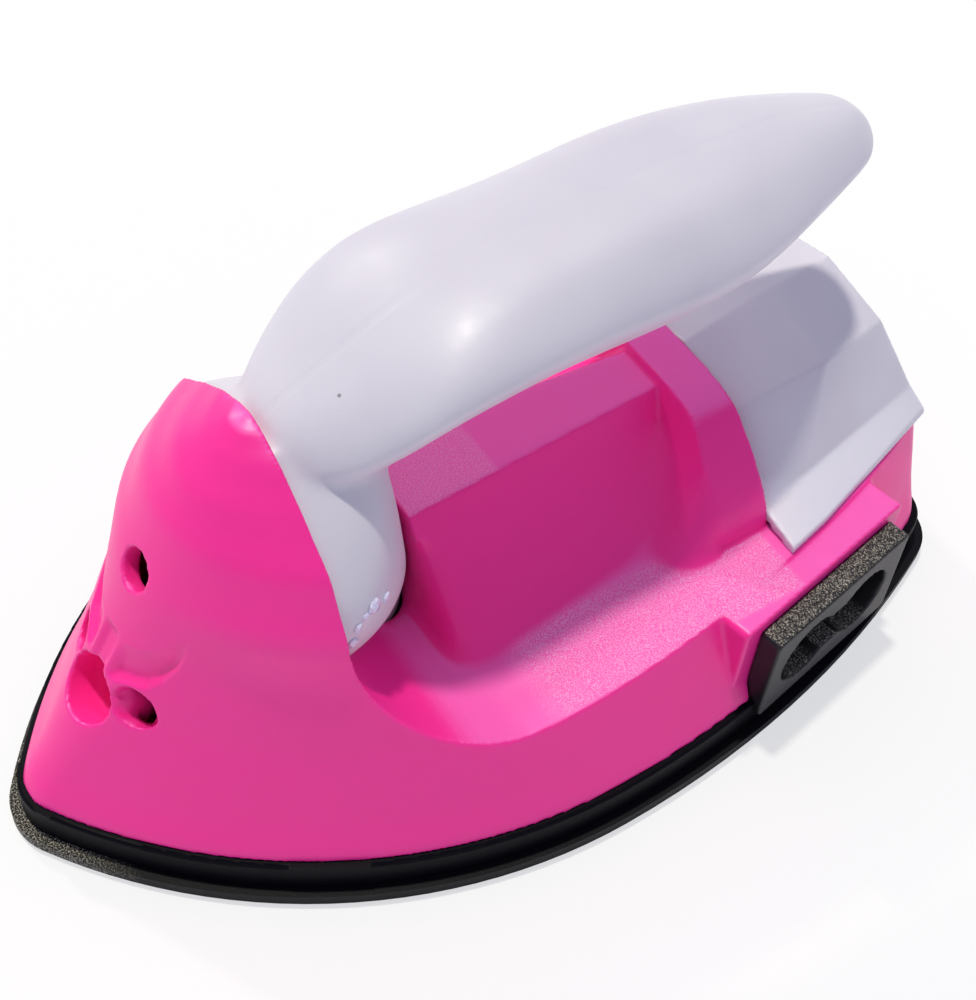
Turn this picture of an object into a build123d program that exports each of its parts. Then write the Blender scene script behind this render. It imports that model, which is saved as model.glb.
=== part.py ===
from build123d import *
from math import atan2, cos, degrees, hypot, sin, sqrt
import os

# Mini craft iron. Nose towards -Y, inlet on the +X side, +Z up.
# The origin is on the middle plane, amidships, at the ironing face. Millimetres.

# Plan of the base
nose_reach = 49.0
nose_radius = 5.0
base_beam = 28.5
tail_reach = 49.0
tail_beam = 16.8
tail_corner = 4.5

# Sole plate and skirt
sole_flange = 1.7
sole_proud = 1.1
sole_edge_round = 0.5
pad_height = 2.5
pad_inset = 6.5
pad_tip_radius = 4.0
pad_corner = 2.5
skirt_height = 3.55
skirt_wall = 3.6
skirt_round = 0.4
ledge = 0.6

# Moulded hull
hull_wall = 1.6
prow_height = 38.85
arch_place = 23.4
shoulder_height = 10.4
shoulder_rise = 1.55
well_radius = 14.4
rim = 1.2
service_half_width = 8.5
service_length = 16.0
service_margin = 3.0
hatch_depth = 12.0

# Ridge under the hand and the bulkhead behind it
ridge_front = 10.6
ridge_height = 11.8
ridge_top_front = 4.6
ridge_top_rear = 2.4
ridge_foot_front = 19.4
ridge_foot_rear = 16.4
ridge_hollow = 0.9
bulkhead_to_tail = 25.0
bulkhead_height = 11.3
bulkhead_beam = 16.4
scoop_radius = 15.2
scoop_place = 4.0
scoop_height = 14.6

# Round openings in the nose: diameter, height above the foot and distance from the middle
eye_diameter = 6.6
eye_height = 12.2
cheek_diameter = 3.9
cheek_height = 14.3
cheek_offset = 4.9
brow_diameter = 3.9
brow_height = 25.6
nose_cut = 4.0
nose_lean = 28.0

# Handle
grip_start = 22.8
grip_length = 63.8
grip_base = 30.0
grip_height = 24.4
grip_half_width = 10.9
column_depth = 14.5
column_seat = 0.8
column_plug = 3.6
peg_diameter = 3.0
peg_length = 4.0
peg_low = 26.0
peg_high = 45.0
peg_column = 18.0
peg_front = 4.0
peg_rear = 26.0
handle_plate_length = 16.0
handle_plate_width = 12.0
handle_plate_thickness = 1.6
handle_plate_place = 16.6
handle_screw_pitch = 7.0
handle_screw_grip = 6.0

# Rear cover
cover_wall = 1.6
cover_beam = 20.5
cover_height = 14.8

# Mains inlet
inlet_angle = 11.8
inlet_side_inset = 2.7
inlet_tail_inset = 21.9
inlet_z = 9.55
inlet_width = 20.8
inlet_height = 12.05
inlet_flange = 2.5
inlet_corner = 0.6
inlet_body_width = 18.2
inlet_body_height = 9.4
inlet_body_depth = 9.0
socket_pitch = 8.6
socket_diameter = 7.9
socket_waist = 5.2
socket_depth = 8.6
inlet_pin_diameter = 2.4
inlet_pin_length = 7.4
terminal_width = 3.0
terminal_thickness = 0.8
terminal_length = 4.5
boss_front = 12.6
boss_rear = 12.0
boss_height = 11.6
boss_depth = 9.0
boss_round = 0.7

# Heater stack on the sole's pad
heater_place = -2.0
heater_length = 32.0
heater_width = 14.0
ceramic_thickness = 2.2
electrode_thickness = 0.4
electrode_width = 12.4
tab_length = 4.0
tab_width = 2.6
insulation_thickness = 0.3
insulation_margin = 0.6
clamp_thickness = 1.0
clamp_width = 7.0
clamp_foot = 7.0
clamp_clearance = 0.3
shield_thickness = 1.2
shield_inset = 2.0
shield_overhang = 2.0

# Thermal fuse and its clip
fuse_side_inset = 13.9
fuse_y = 0.5
fuse_diameter = 3.6
fuse_length = 9.0
fuse_lead_diameter = 0.8
fuse_lead = 6.0
sleeve_wall = 0.4
sleeve_length = 11.0
clip_thickness = 0.5
clip_width = 4.0
clip_foot = 3.4
crimp_diameter = 2.6
crimp_length = 4.0

# Wires
wire_diameter = 1.6
wire_bend = 1.6
wire_start = 3.4
wire_drop = 3.4
live_turn = 6.0
link_turn = 4.0

# Screws and lugs
slot_share = 0.6
screw_diameter = 2.2
screw_head_diameter = 4.0
screw_head_height = 1.3
screw_grip = 2.6
screw_recess = 0.6
screw_slot = 0.6
small_screw_diameter = 1.6
small_screw_head = 2.8
small_screw_head_height = 0.9
small_screw_grip = 1.8
lug_radius = 3.4
lug_thickness = 1.6
lug_reach = 12.0
nose_screw_inset = 12.5
side_screw_inset = 12.9
side_screw_y = -21.0
tail_screw_side_inset = 8.2
tail_screw_inset = 10.6

# Working values
foot_height = sole_flange + skirt_height
tip_reach = nose_reach - ledge
hull_beam = base_beam - ledge
overrun = 5.0
pad_top = sole_flange + pad_height
bulkhead_place = tail_reach - bulkhead_to_tail
cover_tail = tail_reach - ledge
inlet_x = base_beam - inlet_side_inset
inlet_y = tail_reach - inlet_tail_inset
fuse_x = base_beam - fuse_side_inset
nose_screw_y = nose_screw_inset - nose_reach
side_screw_x = base_beam - side_screw_inset
tail_screw_x = tail_beam - tail_screw_side_inset
tail_screw_y = tail_reach - tail_screw_inset
lower_electrode_height = pad_top + insulation_thickness
upper_electrode_height = lower_electrode_height + electrode_thickness + ceramic_thickness
crimp_distance = fuse_length / 2 + fuse_lead
tab_offset = (electrode_width - tab_width) / 2

# Hull sections from the foot up to the prow's top. Each row gives the height, how far the tip has come
# back towards the arch, the tip's radius, the beam, how far forward the widest place lies, the beam at
# the tail and the tail's corners. The hull's loft passes through even steps between the rows.
hull_shares = (
    (0.0, 0.0, 0.158, 1.0, 0.0, 1.0, 1.0),
    (0.148, 0.138, 0.2, 0.925, 0.06, 0.875, 0.95),
    (0.315, 0.285, 0.27, 0.842, 0.15, 0.755, 0.9),
    (0.483, 0.417, 0.36, 0.765, 0.28, 0.66, 0.8),
    (0.663, 0.529, 0.5, 0.62, 0.684, 0.56, 0.6),
    (0.804, 0.636, 0.43, 0.544, 0.6, 0.42, 0.4),
    (0.894, 0.74, 0.269, 0.36, 0.726, 0.28, 0.3),
    (0.959, 0.856, 0.143, 0.199, 0.855, 0.155, 0.17),
    (0.99, 0.928, 0.0645, 0.08, 0.94, 0.065, 0.07),
    (1.0, 0.975, 0.018, 0.025, 0.983, 0.022, 0.025),
)
hull_steps = 2

# Width and depth of the handle's column at the hull sections that it passes, from its foot to the arch's
# top. Each row begins with the place of its section in the table above.
column_shares = (
    (2, 0.5, 1.0),
    (3, 0.82, 0.92),
    (4, 0.985, 0.82),
    (5, 1.0, 0.76),
    (6, 1.0, 0.69),
    (7, 1.0, 0.59),
)

# Grip stations from the prow to the free end: place, top, half width, height of the widest line, underside
grip_shares = (
    (0.0, 0.54, 0.42, 0.42, 0.2),
    (0.06, 0.631, 0.73, 0.49, 0.17),
    (0.128, 0.734, 0.91, 0.61, 0.18),
    (0.207, 0.836, 0.99, 0.71, 0.23),
    (0.312, 0.91, 0.99, 0.74, 0.29),
    (0.42, 0.95, 0.955, 0.74, 0.29),
    (0.539, 0.988, 0.963, 0.74, 0.3),
    (0.655, 0.998, 0.955, 0.755, 0.335),
    (0.765, 1.0, 0.82, 0.775, 0.41),
    (0.859, 0.984, 0.63, 0.78, 0.49),
    (0.93, 0.945, 0.475, 0.775, 0.56),
    (0.97, 0.9, 0.35, 0.77, 0.62),
    (0.992, 0.845, 0.2, 0.768, 0.69),
    (1.0, 0.8, 0.06, 0.768, 0.74),
)

# One grip section: its crown and underside as parts of the half width and of the height above the widest
# line or the depth below it
crown_shares = (0.62, 0.79)
under_shares = ((0.87, 0.3), (0.62, 0.62), (0.4, 0.88))

# Arch of the bulkhead, as parts of its half width and height
arch_shares = ((0.97, 0.2), (0.66, 0.75))

# Rear cover's corners as (x, z) parts of the cover's beam and height, at the arch, at the break and at the
# tail, and how far along the cover the break lies at its top and at its foot
cover_arch_shares = ((0.0, 0.77), (0.4, 0.595), (0.76, 0.12), (1.0, 0.068))
cover_break_shares = ((0.0, 0.93), (0.478, 0.83), (0.72, 0.19), (0.932, 0.068))
cover_tail_shares = ((0.0, 1.0), (0.376, 0.78), (0.537, 0.22), (0.63, 0.068))
cover_break_place_shares = (0.41, 0.41, 0.225, 0.225)
cover_lean_share = 0.27


def arc(centre, start, end):
    """The shorter arc about centre from start to end."""
    middle = (start + end) * 0.5 - centre
    return ThreePointArc(start, centre + middle * ((start - centre).length / middle.length), end)


def ogive(tip, tip_radius, beam, beam_y, tail, tail_beam, corner):
    """Boat-shaped face: rounded nose, bow arcs, stern arcs and a straight transom with round corners."""
    nose = Vector(0, tip_radius - tip)
    reach = nose.Y - beam_y
    bow = (beam**2 + reach**2 - tip_radius**2) / (2 * (beam - tip_radius))
    bow_centre = Vector(beam - bow, beam_y)
    cheek = bow_centre + (nose - bow_centre) * (bow / (bow - tip_radius))
    drop = beam - tail_beam
    stern = (drop**2 + (tail - beam_y) ** 2) / (2 * drop)
    stern_centre = Vector(beam - stern, beam_y)
    corner_y = tail - corner
    corner_x = stern_centre.X + sqrt((stern - corner) ** 2 - (corner_y - beam_y) ** 2)
    corner_centre = Vector(corner_x, corner_y)
    quarter = stern_centre + (corner_centre - stern_centre) * (stern / (stern - corner))
    widest = Vector(beam, beam_y)
    port = [
        arc(bow_centre, cheek, widest),
        arc(stern_centre, widest, quarter),
        arc(corner_centre, quarter, Vector(corner_centre.X, tail)),
    ]
    starboard = [edge.mirror(Plane.YZ) for edge in port]
    bow_arc = ThreePointArc(Vector(-cheek.X, cheek.Y), Vector(0, -tip), cheek)
    transom = Line(Vector(corner_centre.X, tail), Vector(-corner_centre.X, tail))
    return Face(Wire([bow_arc, *port, transom, *starboard]))


def plan(grow):
    """Plan of the base grown outwards by grow."""
    tail = tail_reach + grow
    beam = base_beam + grow
    return ogive(nose_reach + grow, nose_radius + grow, beam, 0, tail, tail_beam + grow, tail_corner + grow)


def hull_sizes(row, inset=0):
    """Sizes of one hull section, inset from the outer face."""
    height, back, radius, beam, forward, tail, corner = row
    tip = tip_reach - back * (tip_reach - arch_place)
    return (
        foot_height + height * (prow_height - inset),
        tip - inset,
        radius * hull_beam - inset,
        beam * hull_beam - inset,
        -forward * arch_place,
        tail * (tail_beam - ledge) - inset,
        corner * tail_corner,
    )


def hull_rows():
    """The table's rows with even steps between them, which keep the loft straight from row to row."""
    rows = []
    for low, high in zip(hull_shares, hull_shares[1:]):
        for step in range(hull_steps):
            rows.append(tuple(a + (b - a) * step / hull_steps for a, b in zip(low, high)))
    return [*rows, hull_shares[-1]]


def tip_place(height):
    """Where the middle of the prow lies at a height above the foot."""
    share = height / prow_height
    for low, high in zip(hull_shares, hull_shares[1:]):
        if low[0] <= share <= high[0]:
            between = (share - low[0]) / (high[0] - low[0])
            back = low[1] + between * (high[1] - low[1])
            return -tip_reach + back * (tip_reach - arch_place)


def opening_half_width(row):
    """Half the hull's width where the arch stands, at one hull section."""
    height, tip, radius, beam, beam_y, tail, corner = hull_sizes(row)
    reach = radius - tip - beam_y
    bow = (beam**2 + reach**2 - radius**2) / (2 * (beam - radius))
    return beam - bow + sqrt(bow**2 - (arch_place + beam_y) ** 2)


def hull_form(inset):
    """The whole closed form of the hull and prow, before the finger well is taken out."""
    sections = []
    for row in hull_rows():
        height, tip, radius, beam, beam_y, tail, corner = hull_sizes(row, inset)
        if tail > inset:
            corner *= tail / (tail + inset)
            outline = ogive(tip, radius, beam, beam_y, tail_reach - ledge - inset, tail, corner)
            sections.append(Pos(0, 0, height) * outline)
    return loft(sections)


def side_face(outline):
    """A closed outline given as (y, z) laid in the middle plane."""
    return Plane.YZ * Face(Wire(outline))


def well_cutter(inset):
    """Everything above the shoulder and behind the arch, with the concave sweep between them."""
    front = -arch_place - inset
    low = foot_height + shoulder_height - inset
    high = low + shoulder_rise
    top = foot_height + prow_height + overrun
    far = tail_reach + overrun
    radius = well_radius + inset
    corner = (front + radius, low)
    outline = [
        Line((front, top), (front, low + radius)),
        RadiusArc((front, low + radius), corner, -radius),
        Line(corner, (bulkhead_place, high)),
        Line((bulkhead_place, high), (far, high)),
        Line((far, high), (far, top)),
        Line((far, top), (front, top)),
    ]
    return extrude(side_face(outline), amount=base_beam + overrun, both=True)


def cross_face(place, edges):
    """A closed outline given as (x, z) laid across the part at a place along it."""
    return Plane(origin=(0, place, 0), x_dir=(1, 0, 0), z_dir=(0, -1, 0)) * Face(Wire(edges))


def ridge_section(place, top_half, foot_half, inset):
    """One section of the ridge under the hand: flat top and hollowed flanks."""
    foot = foot_height + shoulder_height - hull_wall - inset
    top = foot_height + shoulder_height + ridge_height - inset
    x_top = top_half - inset
    x_foot = foot_half - inset
    middle = ((x_top + x_foot) / 2 - ridge_hollow, (top + foot) / 2 - ridge_hollow)
    flank = ThreePointArc((x_top, top), middle, (x_foot, foot))
    other = ThreePointArc((-x_foot, foot), (-middle[0], middle[1]), (-x_top, top))
    edges = [Line((-x_top, top), (x_top, top)), flank, Line((x_foot, foot), (-x_foot, foot)), other]
    return cross_face(place, edges)


def ridge(inset):
    """The ridge from behind the column to the bulkhead."""
    front = ridge_section(-ridge_front + inset, ridge_top_front, ridge_foot_front, inset)
    rear = ridge_section(bulkhead_place, ridge_top_rear + inset, ridge_foot_rear, inset)
    return loft([front, rear])


def bulkhead(inset):
    """The arch ahead of the rear cover, swept back in a finger scoop towards the ridge."""
    foot = foot_height + shoulder_height - hull_wall
    spring = foot_height + shoulder_height + shoulder_rise - inset
    rise = bulkhead_height
    half = bulkhead_beam - inset
    between = [(half * out, spring + rise * up) for out, up in arch_shares]
    crown = Spline([(half, spring), *between, (0, spring + rise)], tangents=[(0, 1), (-1, 0)])
    port = [Line((half, foot), (half, spring)), crown]
    starboard = [edge.mirror(Plane.YZ) for edge in port]
    arch = cross_face(bulkhead_place, [*port, *starboard, Line((half, foot), (-half, foot))])
    block = extrude(arch, amount=bulkhead_place - scoop_place)
    axis_height = foot_height + shoulder_height + scoop_height
    scoop = Cylinder(scoop_radius + inset, 2 * base_beam, rotation=(0, 90, 0))
    return block - Pos(0, scoop_place, axis_height) * scoop


def hull_solid(form, inset):
    """A hull form with the finger well taken out and the ridge and bulkhead added."""
    return form - well_cutter(inset) + ridge(inset) + bulkhead(inset)


def nose_cuts():
    """Round openings in the nose, each square to the leaning surface."""
    cuts = []
    for diameter, height, offset in (
        (eye_diameter, eye_height, 0),
        (cheek_diameter, cheek_height, cheek_offset),
        (cheek_diameter, cheek_height, -cheek_offset),
        (brow_diameter, brow_height, 0),
    ):
        hole = Cylinder(diameter / 2, 2 * nose_cut, rotation=(90 - nose_lean, 0, 0))
        cuts.append(Pos(offset, tip_place(height), foot_height + height) * hole)
    return cuts


def inlet_frame():
    """Plane on the inlet's outer face, x towards the tail and y upwards."""
    along = Vector(0, 1, 0).rotate(Axis.Z, inlet_angle)
    outwards = Vector(1, 0, 0).rotate(Axis.Z, inlet_angle)
    return Plane(origin=(inlet_x, inlet_y, inlet_z), x_dir=along, z_dir=outwards).location


def block(width, height, depth, corner):
    """A block standing back from the plane, its long edges rounded."""
    return extrude(RectangleRounded(width, height, corner), amount=-depth)


def inlet_boss():
    """Moulded pad on the hull's side that carries the inlet."""
    middle = (boss_rear - boss_front) / 2
    low = foot_height - inlet_z
    pad = block(boss_front + boss_rear, boss_height, boss_depth, boss_round)
    return inlet_frame() * Pos(middle, low + boss_height / 2, -inlet_flange) * pad


def inlet_envelope():
    """Outside of the inlet: flange and body."""
    flange = block(inlet_width, inlet_height, inlet_flange, inlet_corner)
    body = block(inlet_body_width, inlet_body_height, inlet_flange + inlet_body_depth, inlet_corner)
    return inlet_frame() * (flange + body)


def pin_places():
    """Centres of the two pins along the inlet's face."""
    return (-socket_pitch / 2, socket_pitch / 2)


def inlet_pin(place):
    """One round contact pin, standing through the floor of the socket."""
    floor = inlet_flange + inlet_body_depth
    length = inlet_pin_length + floor - socket_depth
    pin = Cylinder(inlet_pin_diameter / 2, length, align=(Align.CENTER, Align.CENTER, Align.MIN))
    rounded = fillet(pin.edges().sort_by(Axis.Z)[-1], inlet_pin_diameter / 4)
    return inlet_frame() * Pos(place, 0, -floor) * rounded


def inlet_pins():
    """Both contact pins."""
    return [inlet_pin(place) for place in pin_places()]


def inlet_housing():
    """Black inlet block with its figure-of-eight socket."""
    lobes = [Pos(place, 0) * Circle(socket_diameter / 2) for place in pin_places()]
    socket = lobes[0] + lobes[1] + Rectangle(socket_pitch, socket_waist)
    housing = inlet_envelope() - inlet_frame() * extrude(socket, amount=-socket_depth)
    return housing - inlet_pins()


def terminal_end(place):
    """Centre of a terminal's free end."""
    return inlet_frame() * Pos(place, 0, -inlet_flange - inlet_body_depth - terminal_length)


def inlet_terminals():
    """Flat tags on the backs of the pins."""
    above = (Align.CENTER, Align.CENTER, Align.MIN)
    tag = Box(terminal_width, terminal_thickness, terminal_length, align=above)
    return [terminal_end(place) * tag for place in pin_places()]


def screw_places():
    """Where the base screws stand, as (x, y)."""
    return (
        (0, nose_screw_y),
        (side_screw_x, side_screw_y),
        (-side_screw_x, side_screw_y),
        (tail_screw_x, tail_screw_y),
        (-tail_screw_x, tail_screw_y),
    )


def lugs(inset, height, thickness):
    """Screw lugs reaching inwards from a wall that follows the plan at an inset."""
    solids = []
    for x, y in screw_places():
        length = hypot(x, y)
        reach = Pos(x * lug_reach / length / 2, y * lug_reach / length / 2)
        arm = Rot(0, 0, degrees(atan2(y, x))) * Rectangle(lug_reach, 2 * lug_radius)
        outline = Pos(x, y) * (Circle(lug_radius) + reach * arm)
        solids.append(Pos(0, 0, height) * extrude(outline & plan(-inset), amount=thickness))
    return solids


def drill(height, depth, diameter):
    """Round holes for the base screws, downwards from a height."""
    hole = Cylinder(diameter / 2, depth, align=(Align.CENTER, Align.CENTER, Align.MAX))
    return [Pos(x, y, height) * hole for x, y in screw_places()]


def screw(diameter, length, head_diameter, head_height):
    """Pan-head screw, its shank downwards from the origin."""
    head = Cylinder(head_diameter / 2, head_height, align=(Align.CENTER, Align.CENTER, Align.MIN))
    head = fillet(head.edges().sort_by(Axis.Z)[-1], head_height / 3)
    below = (Align.CENTER, Align.CENTER, Align.MAX)
    slots = Box(head_diameter * slot_share, screw_slot, screw_recess, align=below)
    cross = Pos(0, 0, head_height) * (slots + Rot(0, 0, 90) * slots)
    shank = Cylinder(diameter / 2, length, align=(Align.CENTER, Align.CENTER, Align.MAX))
    return head - cross + shank


def lug_top():
    """Height of the face under the base screws' heads."""
    return foot_height + lug_thickness


def base_screws():
    """Screws through the hull's and the skirt's lugs into the sole's pad."""
    length = lug_top() - pad_top + screw_grip
    body = screw(screw_diameter, length, screw_head_diameter, screw_head_height)
    return [Pos(x, y, lug_top()) * body for x, y in screw_places()]


def sole_plate():
    """Cast plate with its ironing face, thin flange and raised pad."""
    flange = extrude(plan(sole_proud), amount=sole_flange)
    flange = fillet(flange.edges().group_by(Axis.Z)[0], sole_edge_round)
    tail = tail_reach - pad_inset
    beam = base_beam - pad_inset
    pad_tail_beam = tail_beam - pad_inset
    outline = ogive(nose_reach - pad_inset, pad_tip_radius, beam, 0, tail, pad_tail_beam, pad_corner)
    pad = extrude(outline, amount=pad_top)
    return flange + pad - drill(pad_top, screw_grip, screw_diameter) - clamp_holes() - clip_holes()


def base_skirt():
    """Black heat-proof ring between the sole and the hull."""
    ring = extrude(plan(0), amount=skirt_height) - extrude(plan(-skirt_wall), amount=skirt_height)
    ring = Pos(0, 0, sole_flange) * ring
    top = ring.faces().sort_by(Axis.Z)[-1]
    ring = fillet(top.outer_wire().edges(), skirt_round)
    ring += lugs(0, pad_top, foot_height - pad_top)
    return ring - drill(foot_height, skirt_height, screw_diameter) - inlet_envelope()


def hull_shell(handle):
    """Moulded housing: prow, finger well, ridge, bulkhead and inlet boss over a hollow."""
    outside = hull_solid(hull_form(0) - nose_cuts(), 0) + inlet_boss()
    shell = outside - hull_solid(hull_form(hull_wall), hull_wall)
    shell += lugs(ledge + hull_wall / 2, foot_height, lug_thickness)
    middle = bulkhead_place + service_margin + service_length / 2
    hatch = Box(2 * service_half_width, service_length, hatch_depth)
    shell -= Pos(0, middle, foot_height + shoulder_height) * hatch
    shell -= drill(lug_top(), lug_thickness, screw_diameter)
    return shell - inlet_envelope() - handle


def grip_section(row):
    """Port half of one cross-section of the grip."""
    place, top, half, widest, under = row
    z_top = grip_base + top * grip_height
    z_wide = grip_base + widest * grip_height
    z_under = grip_base + under * grip_height
    x = half * grip_half_width
    out, up = crown_shares
    points = [(0, z_top), (x * out, z_wide + (z_top - z_wide) * up), (x, z_wide)]
    points += [(x * out, z_wide - (z_wide - z_under) * down) for out, down in under_shares]
    points.append((0, z_under))
    skin = Spline(points, tangents=[(1, 0), (-1, 0)])
    return cross_face(-grip_start + place * grip_length, [skin, Line((0, z_under), (0, z_top))])


def column_half():
    """Port half of the column under the grip: quarter ellipses stacked from the foot to the arch's top."""
    front = -arch_place - column_seat
    sections = []
    for place, width, depth in column_shares:
        row = hull_shares[place]
        across = width * (opening_half_width(row) - rim)
        rear = front + depth * column_depth + column_seat
        outline = [
            EllipticalCenterArc((0, front), across, rear - front, arc_size=90),
            Line((0, rear), (0, front)),
            Line((0, front), (across, front)),
        ]
        sections.append(Pos(0, 0, hull_sizes(row)[0]) * Face(Wire(outline)))
    return loft(sections) + extrude(sections[0], amount=-column_plug)


def handle_half():
    """Port half of the handle, flat on the middle plane."""
    return loft([grip_section(row) for row in grip_shares]) + column_half()


def peg_places():
    """Where the pegs that line up the handle's halves stand, as (y, z)."""
    return ((-peg_column, peg_low), (-peg_front, peg_high), (peg_rear, peg_high))


def pegs(length):
    """Pegs across the middle plane, into the starboard half."""
    outwards = (Align.CENTER, Align.CENTER, Align.MIN)
    peg = Cylinder(peg_diameter / 2, length, rotation=(0, -90, 0), align=outwards)
    return [Pos(0, y, z) * peg for y, z in peg_places()]


def column_bottom():
    """Height of the column's lower end, inside the hull."""
    return hull_sizes(hull_shares[column_shares[0][0]])[0] - column_plug


def handle_screw_holes():
    """Places of the two screws that hold the handle's foot."""
    half = handle_screw_pitch / 2
    return [Pos(x, -handle_plate_place, column_bottom()) for x in (-half, half)]


def handle_plate():
    """Flat plate under the handle's foot, inside the hull."""
    below = (Align.CENTER, Align.CENTER, Align.MAX)
    plate = Box(handle_plate_length, handle_plate_width, handle_plate_thickness, align=below)
    plate = Pos(0, -handle_plate_place, column_bottom()) * plate
    hole = Cylinder(screw_diameter / 2, 2 * handle_plate_thickness)
    return plate - [place * hole for place in handle_screw_holes()]


def handle_screws():
    """Screws up through the plate into the handle's foot."""
    length = handle_plate_thickness + handle_screw_grip
    body = Rot(180, 0, 0) * screw(screw_diameter, length, screw_head_diameter, screw_head_height)
    return [place * Pos(0, 0, -handle_plate_thickness) * body for place in handle_screw_holes()]


def handle_halves():
    """Port and starboard halves of the handle, with pegs, sockets and screw holes."""
    port = handle_half()
    starboard = port.mirror(Plane.YZ)
    hole = Cylinder(screw_diameter / 2, handle_screw_grip, align=(Align.CENTER, Align.CENTER, Align.MIN))
    holes = [place * hole for place in handle_screw_holes()]
    return port + pegs(peg_length) - holes, starboard - pegs(peg_length) - holes


def cover_outline(shares, beam, low, inset):
    """Corners of one section of the rear cover as (x, z), from the middle of the roof to the lip's foot."""
    height = cover_height
    points = [(x * beam, low + z * height) for x, z in shares]
    ridge_x, ridge_z = points[0]
    lip_x, lip_z = points[-1]
    inner = [(x - inset, z - inset) for x, z in points[1:-1]]
    return [(ridge_x, ridge_z - inset), *inner, (lip_x - inset, lip_z), (lip_x - inset, low)]


def cover_wire(points):
    """Closed outline of a section from its port corners, as points in space."""
    other = [(-x, y, z) for x, y, z in reversed(points[1:])]
    return Wire.make_polygon([*points, *other], close=True)


def cover_solid(inset):
    """The faceted form of the rear cover."""
    low = foot_height + shoulder_height + shoulder_rise
    beam = cover_beam
    arch = [(x, bulkhead_place, z) for x, z in cover_outline(cover_arch_shares, beam, low, inset)]
    length = cover_tail - bulkhead_place
    shares = (*cover_break_place_shares, cover_break_place_shares[-1])
    places = [bulkhead_place + share * length for share in shares]
    corners = cover_outline(cover_break_shares, beam, low, inset)
    middle = [(x, y, z) for (x, z), y in zip(corners, places)]
    tail = []
    for x, z in cover_outline(cover_tail_shares, beam, low, inset):
        lean = (z - low) * cover_lean_share * length / cover_height
        tail.append((x, cover_tail - inset - lean, z))
    return Solid.make_loft([cover_wire(arch), cover_wire(middle), cover_wire(tail)], ruled=True)


def rear_cover():
    """White faceted cover over the inlet's terminals, open below and in front."""
    return cover_solid(0) - cover_solid(cover_wall)


def layer(length, width, height, thickness):
    """A flat layer of the heater stack."""
    sheet = Box(width, length, thickness, align=(Align.CENTER, Align.CENTER, Align.MIN))
    return Pos(0, heater_place, height) * sheet


def insulation_sheets():
    """Thin sheets below and above the heater."""
    length = heater_length + 2 * insulation_margin
    width = heater_width + 2 * insulation_margin
    heights = (pad_top, upper_electrode_height + electrode_thickness)
    return [layer(length, width, height, insulation_thickness) for height in heights]


def electrodes():
    """Contact plates on both faces of the heating element, each with a tag for its wire."""
    plates = []
    for height, end in ((lower_electrode_height, 1), (upper_electrode_height, -1)):
        plate = layer(heater_length, electrode_width, height, electrode_thickness)
        above = (Align.CENTER, Align.CENTER, Align.MIN)
        tag = Box(tab_width, tab_length, electrode_thickness, align=above)
        tag_y = heater_place + end * (heater_length + tab_length) / 2
        plates.append(plate + Pos(tab_offset, tag_y, height) * tag)
    return plates


def heater_element():
    """Ceramic heating plate."""
    height = lower_electrode_height + electrode_thickness
    return layer(heater_length, heater_width, height, ceramic_thickness)


def heater_clamp():
    """Sprung strap bent over the stack, with a foot at each end."""
    half = heater_length / 2 + insulation_margin + clamp_clearance
    low = pad_top
    high = upper_electrode_height + electrode_thickness + insulation_thickness
    outer = half + clamp_thickness
    port = [(half, low), (half, high), (-half, high), (-half, low)]
    foot = half + clamp_foot
    outline = [
        *port,
        (-foot, low),
        (-foot, low + clamp_thickness),
        (-outer, low + clamp_thickness),
        (-outer, high + clamp_thickness),
        (outer, high + clamp_thickness),
        (outer, low + clamp_thickness),
        (foot, low + clamp_thickness),
        (foot, low),
    ]
    profile = Plane.YZ * Face(Wire.make_polygon([(y, z, 0) for y, z in outline], close=True))
    strap = Pos(0, heater_place, 0) * extrude(profile, amount=clamp_width / 2, both=True)
    return strap - clamp_holes()


def clamp_screw_places():
    """Middle of each foot of the clamp."""
    reach = heater_length / 2 + insulation_margin + clamp_clearance + (clamp_foot + clamp_thickness) / 2
    return [Pos(0, heater_place + end * reach, pad_top + clamp_thickness) for end in (-1, 1)]


def clamp_holes():
    """Holes for the clamp's screws, through the feet and into the pad."""
    depth = clamp_thickness + small_screw_grip
    hole = Cylinder(small_screw_diameter / 2, depth, align=(Align.CENTER, Align.CENTER, Align.MAX))
    return [place * hole for place in clamp_screw_places()]


def clamp_screws():
    """Small screws that hold the clamp down."""
    length = clamp_thickness + small_screw_grip
    body = screw(small_screw_diameter, length, small_screw_head, small_screw_head_height)
    return [place * body for place in clamp_screw_places()]


def heat_shield():
    """Fibre pad that lies on the clamp, under the hull."""
    height = upper_electrode_height + electrode_thickness + insulation_thickness + clamp_thickness
    length = heater_length - 2 * shield_inset
    return layer(length, heater_width + 2 * shield_overhang, height, shield_thickness)


def fuse_axis():
    """Middle of the thermal fuse, lying along the part."""
    return Pos(fuse_x, fuse_y, pad_top + fuse_diameter / 2 + sleeve_wall) * Rot(90, 0, 0)


def thermal_fuse():
    """Cut-out capsule with a lead at each end."""
    body = Cylinder(fuse_diameter / 2, fuse_length)
    lead = Cylinder(fuse_lead_diameter / 2, fuse_length + 2 * fuse_lead)
    return fuse_axis() * (body + lead)


def fuse_sleeve():
    """Glass-fibre sleeve over the fuse."""
    tube = Cylinder(fuse_diameter / 2 + sleeve_wall, sleeve_length)
    return fuse_axis() * (tube - Cylinder(fuse_diameter / 2, sleeve_length))


def clip_screw_places():
    """Middle of each foot of the fuse's clip."""
    reach = fuse_diameter / 2 + sleeve_wall + clip_thickness + clip_foot / 2
    return [Pos(fuse_x + side * reach, fuse_y, pad_top + clip_thickness) for side in (-1, 1)]


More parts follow.
